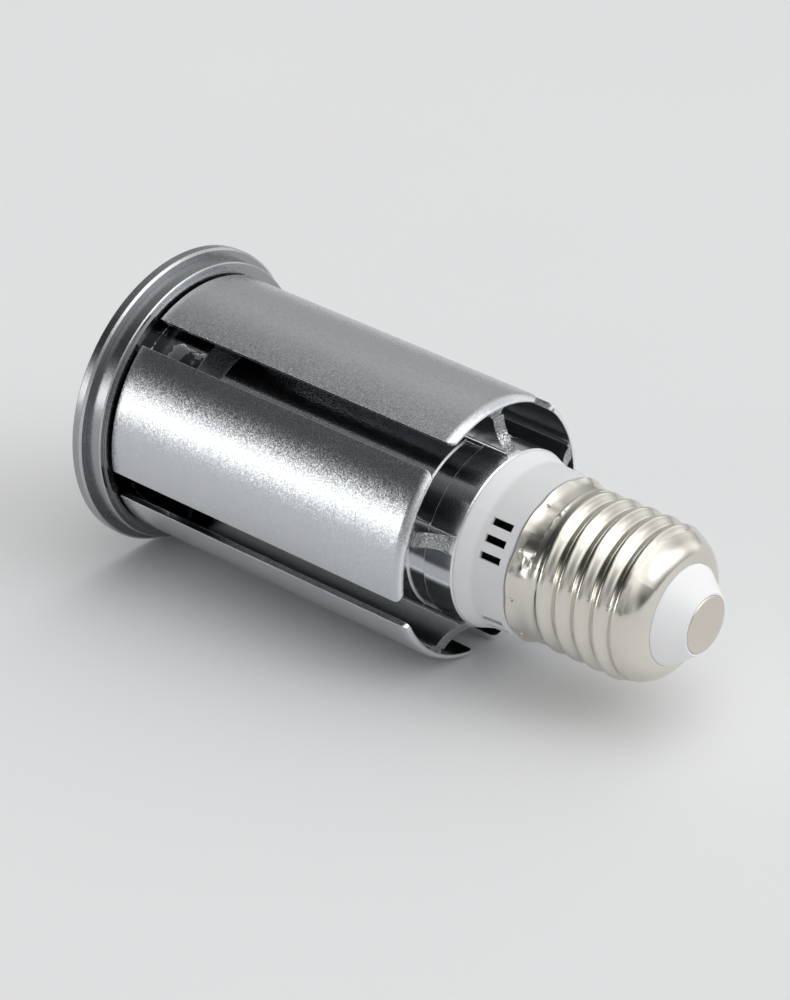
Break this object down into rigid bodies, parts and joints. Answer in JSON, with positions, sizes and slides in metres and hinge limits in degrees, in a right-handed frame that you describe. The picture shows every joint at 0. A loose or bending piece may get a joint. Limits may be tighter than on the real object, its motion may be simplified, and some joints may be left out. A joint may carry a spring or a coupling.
{
  "type": "led spot lamp",
  "caption": "Spot lamp with a slotted cylindrical metal heat sink, stepped front rim, white vented collar and Edison screw cap.",
  "frame": {"origin": "on the lamp's axis in the plane of the front rim, which is the lowest face", "axes": "+Z along the lamp's axis from the front rim to the centre contact; +X and +Y across it"},
  "size_m": [0.0514, 0.0514, 0.1093],
  "materials": {
    "gunmetal": "satin metallic gunmetal with fine sparkle",
    "clear_plastic": "clear polished plastic",
    "seal": "soft translucent seal",
    "bright_cup": "bright vacuum-coated",
    "board_metal": "white solder mask on aluminium",
    "pad_sheet": "soft grey sheet",
    "dam_white": "white silicone",
    "phosphor": "yellow phosphor fill",
    "steel_screw": "zinc-plated",
    "white_plastic": "white satin moulding",
    "nickel": "bright nickel plate, slightly warm",
    "white_insulator": "white satin moulding",
    "nickel_contact": "satin nickel plate",
    "board_green": "green solder mask",
    "film_red": "red dipped box",
    "ferrite": "dark ground ferrite",
    "bobbin_black": "black moulding",
    "winding_tape": "yellow tape",
    "chip_black": "black moulding with tinned pins",
    "lead_brown": "brown insulation",
    "lead_blue": "blue insulation",
    "can_sleeve": "dark sleeve on an aluminium can",
    "choke_green": "green shrink sleeve",
    "resistor_body": "beige body",
    "lead_red": "red insulation",
    "lead_black": "black insulation"
  },
  "bodies": {
    "root": {"bezel_ring": "gunmetal", "front_lens": "clear_plastic", "lens_gasket": "seal", "reflector": "bright_cup", "led_board": "board_metal", "thermal_pad": "pad_sheet", "led_dam": "dam_white", "phosphor_disc": "phosphor", "led_board_screws": "steel_screw", "heat_sink": "gunmetal", "collar": "white_plastic", "screw_shell": "nickel", "cap_insulator": "white_insulator", "centre_contact": "nickel_contact", "driver_board": "board_green", "film_capacitor": "film_red", "transformer_core": "ferrite", "transformer_bobbin": "bobbin_black", "transformer_winding": "winding_tape", "driver_chip": "chip_black", "bridge_rectifier": "chip_black", "live_lead": "lead_brown", "neutral_lead": "lead_blue", "output_capacitor": "can_sleeve", "input_capacitor": "can_sleeve", "choke": "choke_green", "fusible_resistor": "resistor_body", "red_lead": "lead_red", "black_lead": "lead_black"}
  },
  "joints": []
}
